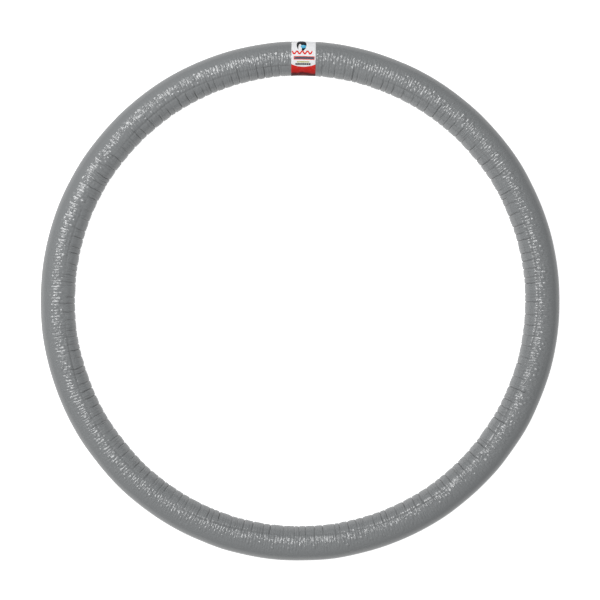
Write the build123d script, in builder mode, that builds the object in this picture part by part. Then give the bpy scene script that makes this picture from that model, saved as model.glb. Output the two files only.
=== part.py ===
from build123d import *
from math import cos, degrees, radians, sin
import os

# A padded gymnastics hoop, lying flat. Its axis is Z, the origin is the ring's centre, and +Y points at the
# label, which covers the one joint in the ring. Every long piece is a tube section revolved about Z.

# Driving dimensions, in millimetres
HOOP_DIAMETER = 1000.0  # outside of the padded ring
FILM_DIAMETER = 66.0  # outside of the padded section
FILM_THICKNESS = 0.3
FILM_GAP = 2.0  # between the film's two ends, under the seam tape

PIPE_DIAMETER = 28.0
PIPE_WALL = 2.5
COLLAR_WIDTH = 3.0  # the connector's collar, between the pipe's two ends

CONNECTOR_LENGTH = 120.0
CONNECTOR_DIAMETER = 22.0
CONNECTOR_BORE = 16.0
BARB_DIAMETER = 22.9
BARB_TIP_DIAMETER = 21.4  # inside the plug's surface, so that the barb rises out of it
BARB_LENGTH = 6.0
BARB_SPACING = 9.0
BARB_COUNT = 3  # at each end of the connector
BARB_INSET = 2.0  # plain nose beyond the last barb

SCREW_DIAMETER = 3.0
SCREW_LENGTH = 6.5
SCREW_TIP = 1.8
SCREW_HEAD_DIAMETER = 6.0
SCREW_HEAD_ANGLE = 90.0
SCREW_SINK = 0.35  # keeps the flat head below the round pipe
SCREW_CLEARANCE = 0.2  # round the shank, in the pipe's wall
SCREW_DISTANCE = 16.0  # from the joint, along the ring
RECESS_LENGTH = 3.2
RECESS_WIDTH = 0.8
RECESS_DEPTH = 1.0

JOINT_TAPE_WIDTH = 60.0
JOINT_TAPE_THICKNESS = 0.2

GLUE_THICKNESS = 0.5

SEAM_TAPE_WIDTH = 30.0
SEAM_TAPE_THICKNESS = 0.05

LABEL_WIDTH = 50.0
LABEL_THICKNESS = 0.2
LABEL_OVERLAP = 12.0
LABEL_OVERLAP_CENTRE = 225.0  # degrees round the section, from straight outwards: low, on the inner side

# Derived dimensions
RING_RADIUS = (HOOP_DIAMETER - FILM_DIAMETER) / 2
FILM_RADIUS = FILM_DIAMETER / 2
FOAM_RADIUS = FILM_RADIUS - FILM_THICKNESS
PIPE_RADIUS = PIPE_DIAMETER / 2
PIPE_BORE_RADIUS = PIPE_RADIUS - PIPE_WALL
JOINT_TAPE_RADIUS = PIPE_RADIUS + JOINT_TAPE_THICKNESS
SEAM_TAPE_RADIUS = FILM_RADIUS + SEAM_TAPE_THICKNESS
LABEL_RADIUS = FILM_RADIUS + LABEL_THICKNESS
OVERLAP_RADIUS = LABEL_RADIUS + LABEL_THICKNESS - SEAM_TAPE_THICKNESS
SCREW_HEAD_HEIGHT = (SCREW_HEAD_DIAMETER - SCREW_DIAMETER) / 2
FULL_TURN = 360.0
JOINT_ANGLE = 90.0  # the joint is at +Y


def arc_angle(length):
    """Degrees round the ring that a length along its centreline takes."""
    return degrees(length / RING_RADIUS)


def section_plane(angle):
    """The plane across the ring at an angle from +X: its x points outwards and its y is +Z."""
    outwards = Vector(cos(radians(angle)), sin(radians(angle)), 0)
    return Plane(outwards * RING_RADIUS, x_dir=outwards, z_dir=outwards.cross(Vector(0, 0, 1)))


def across_joint(length):
    """Where a piece of this length starts if it is centred on the joint, and the angle it covers."""
    return section_plane(JOINT_ANGLE - arc_angle(length) / 2), arc_angle(length)


def around_ring(gap):
    """Where a ring with this gap at the joint starts, and the angle it covers."""
    return section_plane(JOINT_ANGLE + arc_angle(gap) / 2), FULL_TURN - arc_angle(gap)


def screw_planes():
    """Planes on the screw heads: one above and one below the pipe, each side of the joint."""
    planes = []
    for side in (-1, 1):
        section = section_plane(JOINT_ANGLE + side * arc_angle(SCREW_DISTANCE))
        for up in (-1, 1):
            head = section.origin + Vector(0, 0, up * (PIPE_RADIUS - SCREW_SINK))
            planes.append(Plane(head, x_dir=section.x_dir, z_dir=(0, 0, up)))
    return planes


os.makedirs("parts", exist_ok=True)

# Core: one length of pipe bent into a ring, with countersunk holes by its ends
pipe_start, pipe_arc = around_ring(COLLAR_WIDTH)
with BuildPart() as core_tube:
    with BuildSketch(pipe_start):
        Circle(PIPE_RADIUS)
        Circle(PIPE_BORE_RADIUS, mode=Mode.SUBTRACT)
    revolve(axis=Axis.Z, revolution_arc=pipe_arc)
    with Locations(*screw_planes()):
        CounterSinkHole(
            SCREW_DIAMETER / 2 + SCREW_CLEARANCE,
            SCREW_HEAD_DIAMETER / 2,
            depth=PIPE_RADIUS / 2,
            counter_sink_angle=SCREW_HEAD_ANGLE,
        )
core_tube.part.label = "core_tube"
export_step(core_tube.part, "parts/core_tube.step")

# Connector: a hollow plug bent like the pipe, with a collar at its middle and barbs towards both ends
plug_start, plug_arc = across_joint(CONNECTOR_LENGTH)
collar_start, collar_arc = across_joint(COLLAR_WIDTH)
with BuildPart() as joint_connector:
    with BuildSketch(plug_start):
        Circle(CONNECTOR_DIAMETER / 2)
    revolve(axis=Axis.Z, revolution_arc=plug_arc)
    with BuildSketch(collar_start):
        Circle(PIPE_RADIUS)
    revolve(axis=Axis.Z, revolution_arc=collar_arc)
    for side in (-1, 1):
        for number in range(BARB_COUNT):
            distance = CONNECTOR_LENGTH / 2 - BARB_INSET - BARB_LENGTH / 2 - number * BARB_SPACING
            barb_plane = section_plane(JOINT_ANGLE + side * arc_angle(distance))
            # the cone narrows away from the joint, so that the barb slides in and bites on the way out
            with Locations(Plane(barb_plane.origin, z_dir=barb_plane.z_dir * -side)):
                Cone(BARB_DIAMETER / 2, BARB_TIP_DIAMETER / 2, BARB_LENGTH)
    with BuildSketch(plug_start):
        Circle(CONNECTOR_BORE / 2)
    revolve(axis=Axis.Z, revolution_arc=plug_arc, mode=Mode.SUBTRACT)
    with Locations(*screw_planes()):
        Hole(SCREW_DIAMETER / 2, depth=SCREW_LENGTH)
joint_connector.part.label = "joint_connector"
export_step(joint_connector.part, "parts/joint_connector.step")

# Screws: countersunk and self-tapping, with a cross recess
with BuildPart() as joint_screws:
    for head_plane in screw_planes():
        side_plane = Plane(head_plane.origin, x_dir=head_plane.x_dir, z_dir=head_plane.y_dir * -1)
        with BuildSketch(side_plane):
            with BuildLine():
                Polyline(
                    (0, 0),
                    (SCREW_HEAD_DIAMETER / 2, 0),
                    (SCREW_DIAMETER / 2, -SCREW_HEAD_HEIGHT),
                    (SCREW_DIAMETER / 2, SCREW_TIP - SCREW_LENGTH),
                    (0, -SCREW_LENGTH),
                    close=True,
                )
            make_face()
        revolve(axis=Axis(head_plane.origin, head_plane.z_dir))
        with BuildSketch(head_plane):
            Rectangle(RECESS_LENGTH, RECESS_WIDTH)
            Rectangle(RECESS_WIDTH, RECESS_LENGTH)
        extrude(amount=-RECESS_DEPTH, mode=Mode.SUBTRACT)
joint_screws.part.label = "joint_screws"
export_step(joint_screws.part, "parts/joint_screws.step")

# Tape wound over the pipe's joint and the screw heads
tape_start, tape_arc = across_joint(JOINT_TAPE_WIDTH)
with BuildPart() as joint_tape:
    with BuildSketch(tape_start):
        Circle(JOINT_TAPE_RADIUS)
        Circle(PIPE_RADIUS, mode=Mode.SUBTRACT)
    revolve(axis=Axis.Z, revolution_arc=tape_arc)
joint_tape.part.label = "joint_tape"
export_step(joint_tape.part, "parts/joint_tape.step")

# Foam: one length of thick-walled tube, eased where it passes over the joint tape
foam_start, foam_arc = around_ring(GLUE_THICKNESS)
with BuildPart() as foam_sleeve:
    with BuildSketch(foam_start):
        Circle(FOAM_RADIUS)
        Circle(PIPE_RADIUS, mode=Mode.SUBTRACT)
    revolve(axis=Axis.Z, revolution_arc=foam_arc)
    with BuildSketch(tape_start):
        Circle(JOINT_TAPE_RADIUS)
    revolve(axis=Axis.Z, revolution_arc=tape_arc, mode=Mode.SUBTRACT)
foam_sleeve.part.label = "foam_sleeve"
export_step(foam_sleeve.part, "parts/foam_sleeve.step")

# Contact adhesive between the foam's two ends
glue_start, glue_arc = across_joint(GLUE_THICKNESS)
with BuildPart() as foam_adhesive:
    with BuildSketch(glue_start):
        Circle(FOAM_RADIUS)
        Circle(JOINT_TAPE_RADIUS, mode=Mode.SUBTRACT)
    revolve(axis=Axis.Z, revolution_arc=glue_arc)
foam_adhesive.part.label = "foam_adhesive"
export_step(foam_adhesive.part, "parts/foam_adhesive.step")

# Film that faces the foam, open at the joint
film_start, film_arc = around_ring(FILM_GAP)
with BuildPart() as cover_film:
    with BuildSketch(film_start):
        Circle(FILM_RADIUS)
        Circle(FOAM_RADIUS, mode=Mode.SUBTRACT)
    revolve(axis=Axis.Z, revolution_arc=film_arc)
cover_film.part.label = "cover_film"
export_step(cover_film.part, "parts/cover_film.step")

# Thin tape over the film's two ends
seam_start, seam_arc = across_joint(SEAM_TAPE_WIDTH)
with BuildPart() as seam_tape:
    with BuildSketch(seam_start):
        Circle(SEAM_TAPE_RADIUS)
        Circle(FILM_RADIUS, mode=Mode.SUBTRACT)
    revolve(axis=Axis.Z, revolution_arc=seam_arc)
seam_tape.part.label = "seam_tape"
export_step(seam_tape.part, "parts/seam_tape.step")

# Label: a printed strip wound once round the section, its adhesive filling the steps beside the seam tape,
# with its end stuck over its start
label_start, label_arc = across_joint(LABEL_WIDTH)
overlap_angle = degrees(LABEL_OVERLAP / LABEL_RADIUS)
with BuildPart() as label:
    with BuildSketch(label_start):
        with BuildLine():
            end = CenterArc((0, 0), OVERLAP_RADIUS, LABEL_OVERLAP_CENTRE - overlap_angle / 2, overlap_angle)
            Line((0, 0), end @ 0)
            Line(end @ 1, (0, 0))
        make_face()
        Circle(LABEL_RADIUS)
        Circle(FILM_RADIUS, mode=Mode.SUBTRACT)
    revolve(axis=Axis.Z, revolution_arc=label_arc)
    with BuildSketch(seam_start):
        Circle(SEAM_TAPE_RADIUS)
    revolve(axis=Axis.Z, revolution_arc=seam_arc, mode=Mode.SUBTRACT)
label.part.label = "label"
export_step(label.part, "parts/label.step")
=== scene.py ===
import math

import bpy
import numpy as np
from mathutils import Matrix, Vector


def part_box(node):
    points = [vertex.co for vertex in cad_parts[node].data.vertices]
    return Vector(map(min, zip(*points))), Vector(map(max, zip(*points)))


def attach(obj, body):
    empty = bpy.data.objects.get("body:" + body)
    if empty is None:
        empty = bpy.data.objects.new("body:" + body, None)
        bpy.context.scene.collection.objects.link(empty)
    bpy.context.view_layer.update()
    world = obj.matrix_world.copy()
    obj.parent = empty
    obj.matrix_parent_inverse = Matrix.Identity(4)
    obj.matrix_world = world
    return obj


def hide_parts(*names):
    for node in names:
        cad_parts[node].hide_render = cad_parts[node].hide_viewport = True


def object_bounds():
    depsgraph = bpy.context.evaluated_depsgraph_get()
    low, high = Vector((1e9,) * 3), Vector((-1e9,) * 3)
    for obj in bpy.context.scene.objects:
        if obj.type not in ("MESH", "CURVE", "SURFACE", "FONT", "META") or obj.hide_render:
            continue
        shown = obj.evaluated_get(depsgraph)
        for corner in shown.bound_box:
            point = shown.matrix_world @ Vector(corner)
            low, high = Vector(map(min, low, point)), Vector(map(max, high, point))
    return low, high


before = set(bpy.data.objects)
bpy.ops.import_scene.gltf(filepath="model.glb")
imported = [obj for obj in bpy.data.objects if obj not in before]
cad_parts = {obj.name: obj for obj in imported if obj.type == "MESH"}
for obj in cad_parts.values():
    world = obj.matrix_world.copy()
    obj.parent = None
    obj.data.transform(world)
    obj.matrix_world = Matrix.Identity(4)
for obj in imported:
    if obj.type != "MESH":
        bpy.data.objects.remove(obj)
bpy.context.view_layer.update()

# A padded hoop lying flat: thin film wrinkled over foam, and a printed label round the joint at +Y.
# A place on the tube is given as s, the length along its centreline from the joint, clockwise from above,
# v, the angle round its section (0 is outwards, 90 degrees is up, 180 is inwards), and a radius.

MM = 0.001
SEED = 7
CONTACT = 0.02 * MM  # keeps faces that touch apart

# Sizes from the frame
film_low, film_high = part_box("cover_film")
pipe_low, pipe_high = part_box("core_tube")
tape_low, tape_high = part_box("seam_tape")
_, label_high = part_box("label")
TUBE = (film_high.z - film_low.z) / 2
RING = film_high.x - TUBE
ROUND = 2 * math.pi * RING
PIPE = (pipe_high.z - pipe_low.z) / 2
TAPE = (tape_high.z - tape_low.z) / 2
LABEL = label_high.z
LABEL_HALF = label_high.x * (RING - TUBE) / label_high.y  # half the width of the wound strip

# The mesh of the film: lines along the section's angles, and lines across each fold
SECTION_LINES = 88
CROWDING = 1.9  # how many more lines there are over the fine folds than beside them
CROWDED = (0.8, 1.0, 2.1, 2.4)  # the angles between which the crowding comes in and goes out
CELL_LINES = (0.0, 0.12, 0.38, 0.62, 0.88)  # from one fold's valley to the next
CELL_RISE = (0.0, 0.45, 0.95, 0.95, 0.45)

# Where the fine folds run across the tube. Angles are round the section, in radians.
FOLD_PITCH = 5.2 * MM
FOLD_UNEVENNESS = 0.32  # of the spacing
ZIGZAG = 0.17  # sideways wander of a fold, as a share of the pitch
ZIGZAG_TURNS = 11  # in one turn of the section
PHASE_DRIFT = 0.5  # from one fold's zigzag to the next, in radians
BROAD_WANDER = ((4, 6), 0.05)  # more waves: how many in one turn of the section, and their spread
FINE_WANDER = ((19, 26), 0.04)
STRAIGHTENED = 0.7  # how much of the wander is lost on the inner side
STRAIGHTENING = (1.9, 2.4)  # the angles over which it is lost
SLANT = 1.4 * MM
SLANT_START = (1.2, 2.4)  # the angles over which the slant comes in
SLANT_LENGTH = 14  # how slowly it changes along the ring, in folds

# How high they stand
FOLD_HEIGHT = 0.75 * MM
VALLEY_SHARE = 0.35  # of the height, which the valleys lie below the smooth tube
FAINT_SHARE = 0.18  # of the height, which the folds have before they rise fully
FAINT_START = (0.45, 0.9)  # the angles over which that much of them comes in
FOLDS_START = (0.95, 1.4)  # the angles over which they rise fully
VIGOUR = 0.95  # a fold's mean height, as a share of FOLD_HEIGHT
BROAD_VIGOUR = ((6, 10), 0.36)  # the waves in it: how many in one turn of the section, and their spread
FINE_VIGOUR = ((17, 23, 29), 0.36)
VIGOUR_LIMITS = (0.1, 2.4)
BREADTH_LIMITS = (0.4, 1.7)  # a broad fold stands higher, within these shares of the pitch

# Where they give way to wider panels, with a groove between
PLEAT_EDGE = 2.03  # the angle of that edge
EDGE_WANDER = 0.08
EDGE_LENGTH = 40  # how slowly it wanders along the ring, in folds
EDGE_LOSS = 0.6  # how much of the folds' height ends there
EDGE_EASE = (0.1, 0.12)  # over which angles before and after it
GROOVE_DEPTH = 0.8 * MM
GROOVE_HALF = 0.045  # half its width, as an angle
GROOVE_STRENGTH = (0.75, 0.35)  # mean and spread
GROOVE_LENGTH = 20  # how slowly its strength changes along the ring, in folds
GROOVE_SHADE = 0.35  # its painted shade, as a share of the deepest crease's

# Creases on the inner side, the panels between them, and broad unevenness
DEEP_STEPS = (2, 3, 3, 4, 4, 5)  # fine folds from one deep crease to the next
DEEP_DEPTH = (1.1 * MM, 2.3 * MM)
SHORT_DEPTH = (0.3 * MM, 0.9 * MM)
SHORT_SHARE = 0.45  # of the other folds, which have a short crease
SHORT_END = (2.3, 2.9)  # the angles between which a short crease ends
SHORT_EASE = 0.25  # the angle before and after that, over which it ends
CREASE_START = (2.0, 0.18)  # mean and spread
CREASE_EASE = (0.18, 0.22)  # the angles before and after its start, over which a crease comes in
CREASE_SHALLOW = 0.6  # of its depth, near its start
CREASE_DEEPENING = (2.0, 3.0)  # the angles over which it gets the rest
CREASE_WIDTH = (0.45 * MM, 0.7 * MM)
CREASE_REACH = 6  # in fine folds
PANEL_HEIGHT = 0.65 * MM
PANEL_WIDTH = 15 * MM  # of a panel that stands that high
PANEL_START = (1.75, 2.5)  # the angles over which the panels rise
PANEL_FULLNESS = 0.7  # the power of a sine; less is fuller
DENTS = 0.30 * MM
DENT_LENGTHS = (60, 90)  # how slowly the tube leans and flattens, in mesh lines
DENT_LEAN = 0.6  # it leans towards this angle below straight outwards
LABEL_FADE = (0.5 * MM, 5 * MM)  # beyond the label's edge, the stretch over which the relief comes in

# The foam
FOAM_CLEARANCE = 0.35 * MM  # from the film's valleys
BORE_CLEARANCE = 0.3 * MM  # from the pipe, over the joint's tape
BORE_STEP = 0.2 * MM  # how much less it is elsewhere
BORE_EASE = (31 * MM, 34 * MM)  # the distances from the joint over which it narrows

# The label
LABEL_GRID = (64, 300)  # mesh points across it and round the section
LABEL_START = math.radians(-145)  # the angle where the strip starts
LABEL_TURN = math.radians(380)  # how far it goes round the section
LAP_RISE = (math.radians(26), math.radians(18))  # before its end, where it climbs over its start
LABEL_BODY = 0.85  # its thickness, as a share of the height of the CAD label above the tape
BUCKLE_LIFT = 0.10 * MM
BUCKLE_START = (1.75, 2.6)  # the angles over which it starts to buckle
BUCKLE_UNEVENNESS = 0.6
EDGE_LIFT = 0.05 * MM
EDGE_SHARE = 0.9  # of its half width, beyond which the edge lifts
PRINT_EDGE = 3.2 * MM  # round the section, from straight outwards to where the print starts


def ease(x, low, high):
    """0 below low, 1 above high and a smooth rise between."""
    t = np.clip((x - low) / (high - low), 0, 1)
    return t * t * (3 - 2 * t)


def from_joint(s):
    """The distance along the centreline from the joint, either way round."""
    return np.abs((s + ROUND / 2) % ROUND - ROUND / 2)


def slow(rng, count, scale):
    """A random closed curve of spread 1, which changes over about scale steps."""
    spectrum = np.fft.rfft(rng.normal(0, 1, count))
    spectrum *= np.exp(-2 * (np.arange(len(spectrum)) * scale / count) ** 2)
    curve = np.fft.irfft(spectrum, count)
    return curve / curve.std()


def waves(rng, count, v, turns, spread):
    """For each of count folds, a random sum of waves round the section."""
    total = np.zeros((count, len(v)))
    for n in turns:
        total += rng.normal(0, 1, (count, 1)) * np.sin(n * v + rng.uniform(0, 2 * math.pi, (count, 1)))
    return total * spread / math.sqrt(len(turns) / 2)


def both_sides(v, above, below):
    """A value for the angles on the upper half of the section and one for those on the lower half."""
    return np.where(v > 0, above, below)


def place(s, v, radius):
    """Points in the frame for places on the tube."""
    turn = math.pi / 2 - s / RING
    reach = RING + radius * np.cos(v)
    return np.stack(np.broadcast_arrays(reach * np.cos(turn), reach * np.sin(turn), radius * np.sin(v)), -1)


def straight(s, v, radius):
    """The same places on the tube pulled straight, as coordinates for textures."""
    return np.stack(np.broadcast_arrays(s, radius * np.cos(v), radius * np.sin(v)), -1)


def grid_faces(across, along, closed, start=0, flip=False):
    """Quads over a grid of points, which are numbered along, then across."""
    i, j = np.meshgrid(
        np.arange(across if closed else across - 1), np.arange(along if closed else along - 1), indexing="ij"
    )
    i, j = i.ravel(), j.ravel()
    i_next, j_next = (i + 1) % across, (j + 1) % along
    corners = [i * along + j, i * along + j_next, i_next * along + j_next, i_next * along + j]
    return np.stack(corners[::-1] if flip else corners, -1) + start


def make_mesh(name, points, faces, attributes=None):
    """A smooth-shaded object of quads, with numbers or vectors on its points."""
    mesh = bpy.data.meshes.new(name)
    mesh.vertices.add(points.size // 3)
    mesh.vertices.foreach_set("co", points.astype(np.float32).ravel())
    mesh.loops.add(faces.size)
    mesh.loops.foreach_set("vertex_index", faces.astype(np.int32).ravel())
    mesh.polygons.add(len(faces))
    mesh.polygons.foreach_set("loop_start", np.arange(0, faces.size, 4, dtype=np.int32))
    mesh.update(calc_edges=True)
    mesh.validate()
    mesh.polygons.foreach_set("use_smooth", np.ones(len(faces), bool))
    for key, values in (attributes or {}).items():
        kind, field = ("FLOAT_VECTOR", "vector") if values.shape[-1] == 3 else ("FLOAT", "value")
        layer = mesh.attributes.new(key, kind, "POINT")
        layer.data.foreach_set(field, values.astype(np.float32).ravel())
    made = bpy.data.objects.new(name, mesh)
    bpy.context.scene.collection.objects.link(made)
    return made


# The film's relief


def section_angles():
    """Angles round the section, closer together over the fine folds."""
    v = np.linspace(-math.pi, math.pi, 4001)
    density = 1 + CROWDING * ease(np.abs(v), *CROWDED[:2]) * (1 - ease(np.abs(v), *CROWDED[2:]))
    count = np.concatenate([[0], np.cumsum((density[1:] + density[:-1]) / 2)])
    return np.interp(np.linspace(0, count[-1], SECTION_LINES, endpoint=False), count, v)


def lay_folds(rng, v):
    """Where each fine fold's valley runs: s for each fold and angle, in order along the ring."""
    count = round(ROUND / FOLD_PITCH)
    gaps = rng.uniform(1 - FOLD_UNEVENNESS, 1 + FOLD_UNEVENNESS, count)
    middle = np.cumsum(gaps) * ROUND / gaps.sum() - ROUND / 2
    # neighbours zigzag against each other, which closes the cells between them into diamonds
    phase = np.cumsum(rng.normal(0, PHASE_DRIFT, count)) + math.pi * np.arange(count)
    wander = ZIGZAG * np.sin(ZIGZAG_TURNS * v + phase[:, None])
    wander = wander + waves(rng, count, v, *BROAD_WANDER) + waves(rng, count, v, *FINE_WANDER)
    wander = wander * (1 - STRAIGHTENED * ease(np.abs(v), *STRAIGHTENING))
    slant = slow(rng, count, SLANT_LENGTH)[:, None] * SLANT * np.sin(v) * ease(np.abs(v), *SLANT_START)
    return middle[:, None] + wander * FOLD_PITCH + slant


def raise_folds(rng, v, folds):
    """Mesh lines over the folds: s, height and how deep in the groove, by fold, line and angle."""
    count = len(folds)
    width = np.vstack([folds[1:], folds[:1] + ROUND]) - folds
    around = np.abs(v)
    rise = FAINT_SHARE * ease(around, *FAINT_START) + (1 - FAINT_SHARE) * ease(around, *FOLDS_START)

    wander = both_sides(v, slow(rng, count, EDGE_LENGTH)[:, None], slow(rng, count, EDGE_LENGTH)[:, None])
    edge = PLEAT_EDGE + EDGE_WANDER * wander
    before, after = EDGE_EASE
    rise = rise * (1 - EDGE_LOSS * ease(around, edge - before, edge + after))

    vigour = VIGOUR + waves(rng, count, v, *BROAD_VIGOUR) + waves(rng, count, v, *FINE_VIGOUR)
    breadth = np.clip(width / FOLD_PITCH, *BREADTH_LIMITS)
    pillow = FOLD_HEIGHT * rise * np.clip(vigour, *VIGOUR_LIMITS) * breadth

    mean, spread = GROOVE_STRENGTH
    strength = np.clip(mean + spread * slow(rng, count, GROOVE_LENGTH)[:, None], 0, 1)
    groove = strength * np.exp(-(((around - edge - GROOVE_HALF) / GROOVE_HALF) ** 2))
    base = VALLEY_SHARE * FOLD_HEIGHT * rise + GROOVE_DEPTH * groove

    s = np.stack([folds + t * width for t in CELL_LINES], 1)
    height = np.stack([pillow * q - base for q in CELL_RISE], 1)
    return s, height, np.stack([groove] * len(CELL_LINES), 1)


def crease_depth(rng, v, depth, short):
    """How deep one crease is at each angle: nothing outside, and deepest on the inner side."""
    start = both_sides(v, rng.normal(*CREASE_START), rng.normal(*CREASE_START))
    around = np.abs(v)
    before, after = CREASE_EASE
    deepening = CREASE_SHALLOW + (1 - CREASE_SHALLOW) * ease(around, *CREASE_DEEPENING)
    shape = ease(around, start - before, start + after) * deepening
    if short:
        end = both_sides(v, rng.uniform(*SHORT_END), rng.uniform(*SHORT_END))
        shape = shape * (1 - ease(around, end - SHORT_EASE, end + SHORT_EASE))
    return depth * shape


def pick_creases(rng, count):
    """Which folds deepen into creases: the deep ones, and short ones among the rest."""
    deep = []
    at = 0
    while at < count - 1:
        deep.append(at)
        at += int(rng.choice(DEEP_STEPS))
    return deep, [k for k in range(count) if k not in set(deep) and rng.random() < SHORT_SHARE]


def press_creases(rng, v, folds, s, height, deep, short):
    """Lower the height along each crease, and return how deep into a crease each point is, from 0 to 1."""
    share = np.zeros_like(height)
    for k in sorted(deep + short):
        low, high = SHORT_DEPTH if k in short else DEEP_DEPTH
        depth = crease_depth(rng, v, rng.uniform(low, high), k in short)
        width = rng.uniform(*CREASE_WIDTH)
        near = np.arange(k - CREASE_REACH, k + CREASE_REACH) % len(folds)
        drop = depth * np.exp(-from_joint(s[near] - folds[k]) / width)
        height[near] -= drop
        share[near] = np.maximum(share[near], drop / DEEP_DEPTH[1])
    return share


def puff_panels(v, folds, s, height, deep):
    """Bulge the film between one deep crease and the next, more where they are further apart."""
    count = len(folds)
    bulge = ease(np.abs(v), *PANEL_START) * PANEL_HEIGHT
    for k, after in zip(deep, deep[1:] + [deep[0] + count]):
        rows = np.arange(k, after) % count
        span = folds[after % count] - folds[k] + (ROUND if after >= count else 0)
        share = np.clip(((s[rows] - folds[k]) % ROUND) / span, 0, 1)
        height[rows] += bulge * np.sin(math.pi * share) ** PANEL_FULLNESS * (span / PANEL_WIDTH) ** 0.5


def film_relief(rng, v):
    """The wrinkled film's mesh lines: s, height above the smooth tube, and crease share, line by angle. The
    crease share paints shade into the creases and the groove.
    """
    folds = lay_folds(rng, v)
    s, height, groove = raise_folds(rng, v, folds)
    deep, short = pick_creases(rng, len(folds))
    crease = press_creases(rng, v, folds, s, height, deep, short)
    # the groove's painted shade joins the crease share
    crease = np.maximum(crease, GROOVE_SHADE * groove)
    puff_panels(v, folds, s, height, deep)
    lines = len(folds) * len(CELL_LINES)
    s, height, crease = (a.reshape(lines, len(v)) for a in (s, height, crease))
    lean, flatten = (slow(rng, lines, length)[:, None] for length in DENT_LENGTHS)
    dents = lean * np.cos(v + DENT_LEAN) + flatten * np.sin(2 * v)
    clear = ease(from_joint(s), LABEL_HALF + LABEL_FADE[0], LABEL_HALF + LABEL_FADE[1])
    return s, (height + DENTS * dents) * clear, crease * clear


# Shaders


class Field:
    """A number all over a surface, worked out by a material's maths nodes."""

    def __init__(self, tree, socket):
        self.tree = tree
        self.socket = socket

    def calc(self, operation, *others, clamp=False):
        made = self.tree.nodes.new("ShaderNodeMath")
        made.operation = operation
        made.use_clamp = clamp
        for slot, value in zip(made.inputs, (self, *others)):
            feed(self.tree, slot, value)
        return Field(self.tree, made.outputs[0])

    def __add__(self, other):
        return self.calc("ADD", other)

    def __sub__(self, other):
        return self.calc("SUBTRACT", other)

    def __mul__(self, other):
        return self.calc("MULTIPLY", other)

    def share(self):
        """The number held between 0 and 1."""
        return self.calc("ADD", 0.0, clamp=True)

    def ramp(self, low, high):
        """0 at low, 1 at high and a straight rise between."""
        return ((self - low) * (1 / (high - low))).share()

    def wave(self, rate):
        return (self * rate).calc("SINE")


def feed(tree, socket, value):
    """Link a field or socket to an input, or set a plain value on it."""
    if isinstance(value, Field):
        value = value.socket
    if isinstance(value, bpy.types.NodeSocket):
        tree.links.new(value, socket)
    else:
        socket.default_value = value


def node(tree, kind, **inputs):
    """A shader node. Each input is named with _ for a space."""
    made = tree.nodes.new("ShaderNode" + kind)
    for key, value in inputs.items():
        feed(tree, made.inputs[key.replace("_", " ")], value)
    return made


def mix(tree, share, below, above):
    """One colour laid over another by a share."""
    made = tree.nodes.new("ShaderNodeMix")
    made.data_type = "RGBA"
    feed(tree, made.inputs["Factor"], share)
    colours = [slot for slot in made.inputs if slot.type == "RGBA"]
    feed(tree, colours[0], below)
    feed(tree, colours[1], above)
    return next(slot for slot in made.outputs if slot.type == "RGBA")


def srgb(red, green, blue):
    """A display colour, 0 to 255, as the linear colour that a shader takes."""
    shares = [c / 255 for c in (red, green, blue)]
    return [c / 12.92 if c <= 0.04045 else ((c + 0.055) / 1.055) ** 2.4 for c in shares] + [1.0]


def new_material(name):
    made = bpy.data.materials.new(name)
    made.use_nodes = True
    return made, made.node_tree, made.node_tree.nodes["Principled BSDF"]


def attribute(tree, name, output):
    made = node(tree, "Attribute")
    made.attribute_name = name
    return made.outputs[output]


def parts(tree, vector):
    """The x, y and z of a vector."""
    return [Field(tree, slot) for slot in node(tree, "SeparateXYZ", Vector=vector).outputs]


def noise(tree, where, scale, detail, stretch=(1, 1, 1)):
    """Noise at a place, in metres, finer in the directions that are stretched."""
    mapped = node(tree, "Mapping", Vector=where, Scale=stretch).outputs["Vector"]
    made = node(tree, "TexNoise", Vector=mapped, Scale=scale, Detail=detail)
    return Field(tree, made.outputs["Fac"])


def add_bumps(tree, shader, *bumps):
    """Feed one bump after another, each a height, a strength and a distance, to the shader."""
    normal = None
    for height, strength, distance in bumps:
        made = node(tree, "Bump", Height=height, Strength=strength, Distance=distance)
        if normal:
            tree.links.new(normal, made.inputs["Normal"])
        normal = made.outputs["Normal"]
    tree.links.new(normal, shader.inputs["Normal"])


def film_material():
    made, tree, shader = new_material("grey_film")
    where = attribute(tree, "straight", "Vector")
    crease = Field(tree, attribute(tree, "crease", "Fac"))
    outwards = parts(tree, where)[1]
    broad = noise(tree, where, scale=9, detail=3)
    streaks = noise(tree, where, scale=90, detail=3, stretch=(5, 1, 1))
    colour = mix(tree, ((broad + streaks) * 0.5).share(), srgb(118, 121, 123), srgb(129, 132, 133))
    # the inner side is a little paler, and shade is painted into the creases and the groove: the crease
    # share darkens the colour nearly to black
    paler = mix(tree, 0.22, colour, srgb(165, 168, 170))
    colour = mix(tree, (outwards * (-0.5 / TUBE) + 0.5).share(), colour, paler)
    colour = mix(tree, (crease * 1.05).share(), colour, srgb(44, 46, 48))
    feed(tree, shader.inputs["Base Color"], colour)
    feed(tree, shader.inputs["Roughness"], broad * 0.12 + crease * 0.2 + 0.2)
    shader.inputs["Specular IOR Level"].default_value = 1.0
    shader.inputs["Coat Weight"].default_value = 0.6
    shader.inputs["Coat Roughness"].default_value = 0.12
    crinkle = noise(tree, where, scale=240, detail=2, stretch=(3, 1, 1))
    grain = noise(tree, where, scale=1500, detail=1)
    add_bumps(tree, shader, (crinkle, 0.6, 0.3 * MM), (grain, 0.15, 0.1 * MM))
    return made


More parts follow.
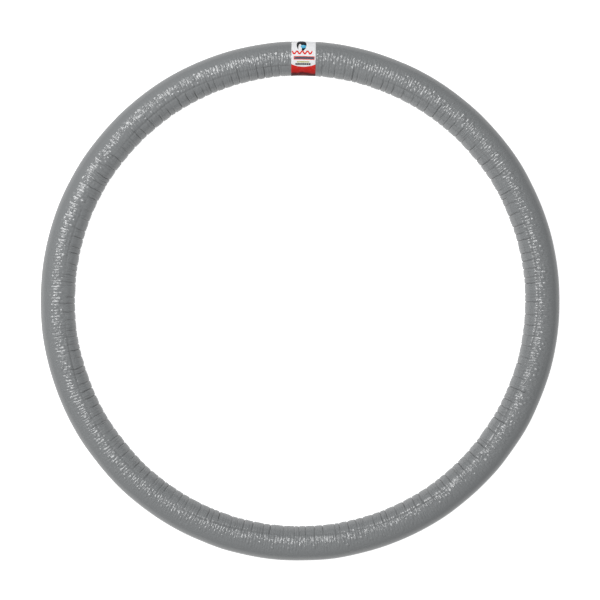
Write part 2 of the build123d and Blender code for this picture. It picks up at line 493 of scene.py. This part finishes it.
def foam_material():
    made, tree, shader = new_material("foam")
    where = attribute(tree, "straight", "Vector")
    cells = Field(tree, node(tree, "TexVoronoi", Vector=where, Scale=900.0).outputs["Distance"])
    broad = noise(tree, where, scale=60, detail=4)
    colour = mix(tree, broad, srgb(120, 122, 124), srgb(150, 152, 153))
    colour = mix(tree, (cells * 0.8).share(), colour, srgb(84, 86, 88))
    feed(tree, shader.inputs["Base Color"], colour)
    feed(tree, shader.inputs["Roughness"], broad * 0.15 + 0.75)
    add_bumps(tree, shader, (cells, 0.7, 0.6 * MM))
    return made


def hard_material(name, light, dark, scale, stretch, roughness, relief, metal=0.0):
    """A moulded, wound or turned piece: two tones, uneven gloss and fine relief."""
    made, tree, shader = new_material(name)
    where = node(tree, "TexCoord").outputs["Object"]
    tone = noise(tree, where, scale, detail=4, stretch=stretch)
    grain = noise(tree, where, scale * 9, detail=2, stretch=stretch)
    feed(tree, shader.inputs["Base Color"], mix(tree, tone, dark, light))
    feed(tree, shader.inputs["Roughness"], grain * 0.16 + (roughness - 0.08))
    shader.inputs["Metallic"].default_value = metal
    add_bumps(tree, shader, (grain, 0.4, relief))
    return made


# The label's print, laid out in millimetres: x across the label, y round the section from its outer edge.
# Each shape is given by its centre and half its size.

EDGE_BLUR = 0.35
PRINT_END = 118  # where the print ends, on the inner side


def band(value, centre, half):
    """1 within half of centre, with a soft edge."""
    return (((value - centre).calc("ABSOLUTE") - half) * (-1 / EDGE_BLUR) + 0.5).share()


def box(x, y, centre, half):
    return band(x, centre[0], half[0]) * band(y, centre[1], half[1])


def oval(x, y, centre, half, blur=EDGE_BLUR):
    """1 inside an ellipse, with a soft edge."""
    a = (x - centre[0]) * (1 / half[0])
    b = (y - centre[1]) * (1 / half[1])
    away = (a * a + b * b).calc("SQRT")
    return ((away - 1) * (-min(half) / blur) + 0.5).share()


def print_emblem(tree, colour, x, y):
    """A dark hoop with a light blue ball in it."""
    hoop = (oval(x, y, (-4, 22), (9.4, 16.5)) - oval(x, y, (-6.8, 32), (3.4, 12))).share()
    dark = mix(tree, y.ramp(7, 19), srgb(58, 64, 78), srgb(14, 16, 22))
    colour = mix(tree, hoop, colour, dark)
    colour = mix(tree, oval(x, y, (-0.4, 27), (5.2, 4.3)), colour, srgb(82, 186, 226))
    return mix(tree, oval(x, y, (-1.6, 25.7), (2.2, 1.2), 1.5), colour, srgb(160, 220, 240))


def print_strips(tree, colour, x, y):
    """A waving red ribbon, an edged strip and two broken rules."""
    middle, half, rate, swing = 40.4, 1.45, 0.62, 2.4
    slope = (x * rate + math.pi / 2).calc("SINE") * (rate * swing)
    away = (y - x.wave(rate) * swing - middle).calc("DIVIDE", (slope * slope + 1).calc("SQRT"))
    ribbon = band(away, 0, half) * band(x, -2.6, 19.6)
    colour = mix(tree, ribbon, colour, srgb(234, 42, 32))

    colour = mix(tree, box(x, y, (1.3, 51), (20, 3.4)), colour, srgb(232, 84, 74))
    colour = mix(tree, box(x, y, (1.6, 51), (18.6, 2)), colour, srgb(76, 92, 108))

    dashes = (x.wave(2.6) * 1.5 + 1.6).share()
    colour = mix(tree, box(x, y, (-0.6, 58.7), (12.1, 1.3)) * dashes, colour, srgb(184, 176, 34))
    dashes = (x.wave(1.7) * 2.5 + 2.6).share()
    return mix(tree, box(x, y, (-0.9, 62.9), (14.8, 1.9)) * dashes, colour, srgb(8, 8, 12))


def print_field(tree, colour, x, y):
    """A red field with a sagging edge, which darkens to a maroon band with a low hill in it."""
    square = x * x
    field = ((y + square * 0.0108 - 68.6) * 2.5 + 0.5).share()
    red = mix(tree, y.ramp(66, 80), srgb(226, 46, 38), srgb(204, 40, 36))
    dusk = y + x.wave(0.26) * 1.6 + oval(x, y, (-4, 84), (5, 12), 6) * 4
    red = mix(tree, dusk.ramp(82, 87), red, srgb(86, 4, 12))
    hill = ((y - square * 0.12 - x.wave(0.8) - 86) * 0.4).share()
    red = mix(tree, hill * y.ramp(112, 104), red, srgb(124, 44, 42))
    return mix(tree, field, colour, red)


def label_material():
    made, tree, shader = new_material("printed_label")
    white = srgb(246, 247, 249)
    x, y, _ = parts(tree, attribute(tree, "print_mm", "Vector"))
    scuffs = noise(tree, attribute(tree, "straight", "Vector"), scale=160, detail=5)
    colour = print_emblem(tree, white, x, y)
    colour = print_strips(tree, colour, x, y)
    colour = print_field(tree, colour, x, y)
    colour = mix(tree, y.ramp(PRINT_END - 0.2, PRINT_END + 0.2), colour, white)
    colour = mix(tree, (scuffs * 0.5 - 0.28).share(), colour, srgb(186, 186, 188))
    feed(tree, shader.inputs["Base Color"], colour)
    feed(tree, shader.inputs["Roughness"], scuffs * 0.2 + 0.34)
    shader.inputs["Specular IOR Level"].default_value = 0.12
    add_bumps(tree, shader, (scuffs, 0.25, 0.2 * MM))
    return made


# Pieces


def build_film(rng):
    v = section_angles()
    s, height, crease = film_relief(rng, v)
    radius = TUBE - CONTACT + height
    attributes = {"straight": straight(s, v, TUBE), "crease": crease[..., None]}
    film = make_mesh("film_cover", place(s, v, radius), grid_faces(*s.shape, True), attributes)
    film.data.materials.append(film_material())
    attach(film, "root")
    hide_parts("cover_film")
    return s, v, radius


def build_foam(s, v, radius):
    """Foam that follows the film's valleys outside, with a plain bore that widens over the joint's tape."""
    valleys = slice(0, None, len(CELL_LINES))
    outer_s = s[valleys]
    outer_radius = radius[valleys] - FOAM_CLEARANCE
    bore_s = np.repeat(outer_s.mean(1, keepdims=True), len(v), 1)
    bore_radius = PIPE + BORE_CLEARANCE - BORE_STEP * ease(from_joint(bore_s), *BORE_EASE)
    points = np.stack([place(outer_s, v, outer_radius), place(bore_s, v, bore_radius)])
    outer_faces = grid_faces(*outer_s.shape, True)
    bore_faces = grid_faces(*outer_s.shape, True, start=outer_s.size, flip=True)
    attributes = {"straight": np.stack([straight(outer_s, v, TUBE), straight(bore_s, v, PIPE)])}
    foam = make_mesh("foam_padding", points, np.concatenate([outer_faces, bore_faces]), attributes)
    foam.data.materials.append(foam_material())
    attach(foam, "root")
    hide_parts("foam_sleeve")


def rim_faces(columns, rows):
    """Quads that join the edges of two open grids, one numbered after the other."""
    count = columns * rows
    loop = np.concatenate([
        np.arange(rows - 1),
        np.arange(columns - 1) * rows + rows - 1,
        np.arange(count - 1, count - rows, -1),
        np.arange(columns - 1, 0, -1) * rows,
    ])
    after = np.roll(loop, -1)
    return np.stack([loop, loop + count, after + count, after], -1)


def build_label():
    """A printed strip of one width, wound once round the film, its end over its start on the inner side."""
    columns, rows = LABEL_GRID
    end = LABEL_START + LABEL_TURN
    skin = LABEL - TAPE
    x = np.linspace(-LABEL_HALF, LABEL_HALF, columns)[:, None]
    v = (LABEL_START + LABEL_TURN * np.linspace(0, 1, rows))[None, :]
    s = RING * np.arcsin(x / (RING + LABEL * np.cos(v)))

    # it buckles slightly where the inner side shortens it, and lifts a little along its edges
    share = x / LABEL_HALF
    buckle = np.sin(5.2 * share + 0.8 * np.sin(2 * v)) + 0.6 * np.sin(9 * share + 3 * v)
    lift = BUCKLE_LIFT * ease(np.abs(v), *BUCKLE_START) * (1 + BUCKLE_UNEVENNESS * buckle)
    lift = lift + EDGE_LIFT * ease(np.abs(share), EDGE_SHARE, 1.0)
    under = TAPE + 3 * CONTACT + lift + skin * ease(v, end - LAP_RISE[0], end - LAP_RISE[1])
    points = np.stack([place(s, v, under + LABEL_BODY * skin), place(s, v, under)])

    top = grid_faces(columns, rows, False)
    bottom = grid_faces(columns, rows, False, start=columns * rows, flip=True)
    faces = np.concatenate([top, bottom, rim_faces(columns, rows)])
    flat = np.stack(np.broadcast_arrays(x, v * LABEL - PRINT_EDGE, 0.0), -1) / MM
    attributes = {"print_mm": np.stack([flat] * 2), "straight": np.stack([straight(s, v, TUBE)] * 2)}
    label = make_mesh("label_wrap", points, faces, attributes)
    label.data.materials.append(label_material())
    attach(label, "root")
    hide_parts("label")


def finish_cad_nodes():
    """Materials for the hard pieces that keep their CAD shape."""
    tape_stretch = (4, 1, 1)
    # light and dark tones, the noise's scale and stretch, roughness, relief, and metal where it is one
    looks = {
        "core_tube": (srgb(52, 53, 56), srgb(36, 37, 40), 30, (1, 1, 6), 0.42, 0.2 * MM),
        "joint_connector": (srgb(226, 224, 214), srgb(205, 202, 190), 60, (1, 1, 1), 0.38, 0.1 * MM),
        "joint_screws": (srgb(190, 192, 196), srgb(140, 142, 148), 400, (1, 1, 4), 0.3, 0.05 * MM, 1.0),
        "joint_tape": (srgb(34, 34, 36), srgb(22, 22, 24), 120, tape_stretch, 0.35, 0.1 * MM),
        "foam_adhesive": (srgb(208, 184, 122), srgb(182, 150, 84), 90, (1, 1, 1), 0.3, 0.3 * MM),
        "seam_tape": (srgb(150, 152, 155), srgb(132, 134, 137), 140, tape_stretch, 0.25, 0.1 * MM),
    }
    for name, look in looks.items():
        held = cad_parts[name]
        held.data.materials.clear()
        held.data.materials.append(hard_material(name + "_finish", *look))


# Studio


def add_floor():
    """A plain pale floor, bright enough to show no shadow. It stays out of the film's gloss."""
    size, drop = 30.0, 0.2 * MM
    low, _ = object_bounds()
    corners = np.array([[x * size, y * size, low.z - drop] for x, y in ((-1, -1), (1, -1), (1, 1), (-1, 1))])
    floor = make_mesh("floor", corners, np.array([[0, 1, 2, 3]]))
    made, _, shader = new_material("floor")
    shader.inputs["Base Color"].default_value = srgb(244, 245, 246)
    shader.inputs["Roughness"].default_value = 0.9
    shader.inputs["Emission Color"].default_value = srgb(255, 255, 255)
    shader.inputs["Emission Strength"].default_value = 0.8
    floor.data.materials.append(made)
    floor.visible_diffuse = False
    floor.visible_glossy = False


def add_room():
    """Soft light from all round: brighter above, on the left, and from below where a pale floor would be."""
    world = bpy.data.worlds.new("room")
    bpy.context.scene.world = world
    world.use_nodes = True
    tree = world.node_tree
    side, back, height = parts(tree, node(tree, "TexCoord").outputs["Generated"])
    light = height.calc("MAXIMUM", 0.0) * 0.10 + height.ramp(-0.05, -0.3) * 0.32 + 0.46
    light = light + side * -0.12 + back * -0.03
    background = tree.nodes["Background"]
    background.inputs["Color"].default_value = (1, 1, 1, 1)
    feed(tree, background.inputs["Strength"], light)


def add_key():
    """One large soft light, narrowed by a grid. It hangs to the hoop's upper left, where it is aimed."""
    tilt, heading, distance = math.radians(29), math.radians(136), 3.5
    sideways = Vector((math.cos(heading), math.sin(heading), 0))
    data = bpy.data.lights.new("key", "AREA")
    data.shape = "DISK"
    data.size = 2.2
    data.spread = math.radians(60)
    data.energy = 8.2
    lamp = bpy.data.objects.new("key", data)
    lamp.location = (sideways * math.sin(tilt) + Vector((0, 0, math.cos(tilt)))) * distance
    lamp.rotation_euler = (lamp.location - sideways * RING).to_track_quat("Z", "Y").to_euler()
    bpy.context.scene.collection.objects.link(lamp)


def add_camera():
    """Straight above the hoop, turned a little so that the label is just right of the top."""
    seen = 2 * (RING + TUBE) * 1.1555  # the width of the picture at the hoop
    aside, forwards = -0.2 * MM, 1.8 * MM  # of the ring's centre
    data = bpy.data.cameras.new("camera")
    data.lens = 150
    data.sensor_width = 36
    data.clip_end = 100
    camera = bpy.data.objects.new("camera", data)
    camera.location = (aside, forwards, seen * data.lens / data.sensor_width)
    camera.rotation_euler.z = math.radians(0.8)
    bpy.context.scene.collection.objects.link(camera)
    bpy.context.scene.camera = camera
    bpy.context.scene.view_settings.view_transform = "Standard"


build_foam(*build_film(np.random.default_rng(SEED)))
build_label()
finish_cad_nodes()
add_floor()
add_room()
add_key()
add_camera()
